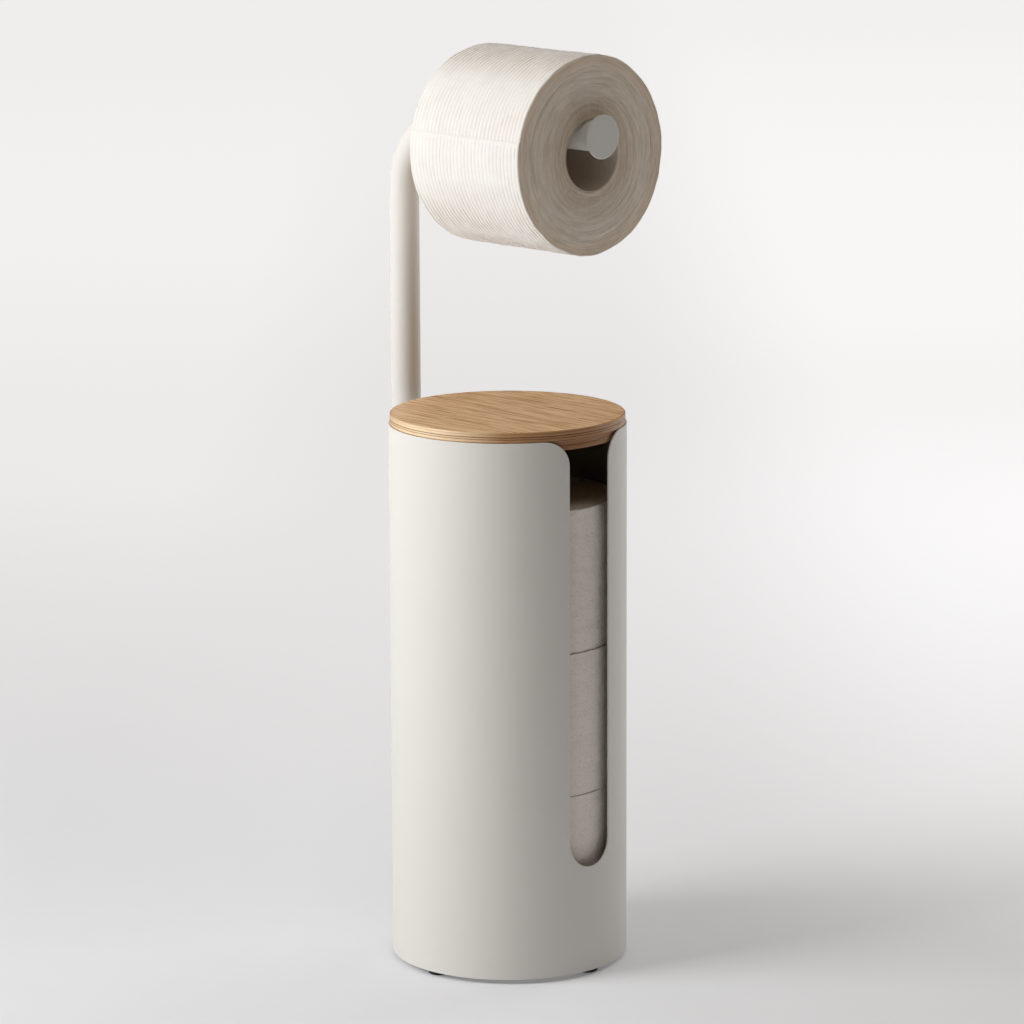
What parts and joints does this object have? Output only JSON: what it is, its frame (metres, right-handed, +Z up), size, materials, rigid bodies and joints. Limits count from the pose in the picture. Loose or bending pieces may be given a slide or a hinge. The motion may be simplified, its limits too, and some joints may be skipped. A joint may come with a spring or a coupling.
{
  "type": "toilet paper stand",
  "caption": "Free-standing toilet paper stand: a slotted steel canister for spare rolls, with a wooden lid, and a bent tube pole whose arm carries the roll in use.",
  "frame": {"origin": "on the floor, on the canister's axis", "axes": "+Z up; -Y to the front, where the slot is and the arm points; +Y to the pole at the back"},
  "size_m": [0.15, 0.1895, 0.583],
  "materials": {
    "powder_coat": "matte",
    "ballast": "matte",
    "rubber": "matte",
    "oak_plywood": "satin",
    "white_nylon": "matte",
    "zinc_steel": "satin",
    "tissue": "matte",
    "core_card": "matte"
  },
  "bodies": {
    "stand": {"canister_shell": "powder_coat", "base_pan": "powder_coat", "base_weight": "ballast", "floor_plate": "powder_coat", "base_bolt": "zinc_steel", "base_washer": "zinc_steel", "base_nut": "zinc_steel", "foot_front": "rubber", "foot_right": "rubber", "foot_back": "rubber", "foot_left": "rubber", "pole_tube": "powder_coat", "end_disc": "powder_coat", "pole_end_plug": "white_nylon", "standoff_lower": "white_nylon", "standoff_upper": "white_nylon", "pole_screws": "zinc_steel", "pole_washers": "zinc_steel", "pole_rivet_nuts": "zinc_steel", "spare_roll_bottom_paper": "tissue", "spare_roll_bottom_core": "core_card", "spare_roll_middle_paper": "tissue", "spare_roll_middle_core": "core_card"},
    "lid": {"lid_board": "oak_plywood"},
    "hanging_roll": {"hanging_roll_paper": "tissue", "hanging_roll_core": "core_card"},
    "spare_roll": {"spare_roll_top_paper": "tissue", "spare_roll_top_core": "core_card"}
  },
  "joints": [
    {"name": "lid_lift", "type": "slide", "parent": "stand", "child": "lid", "axis": [0, 0, 1], "range_m": [0, 0.1]},
    {"name": "roll_turn", "type": "hinge", "parent": "stand", "child": "hanging_roll", "pos_m": [0, -0.0269, 0.5204], "axis": [0, 1, 0], "continuous": true},
    {"name": "spare_roll_lift", "type": "slide", "parent": "stand", "child": "spare_roll", "axis": [0, 0, 1], "range_m": [0, 0.038]}
  ]
}
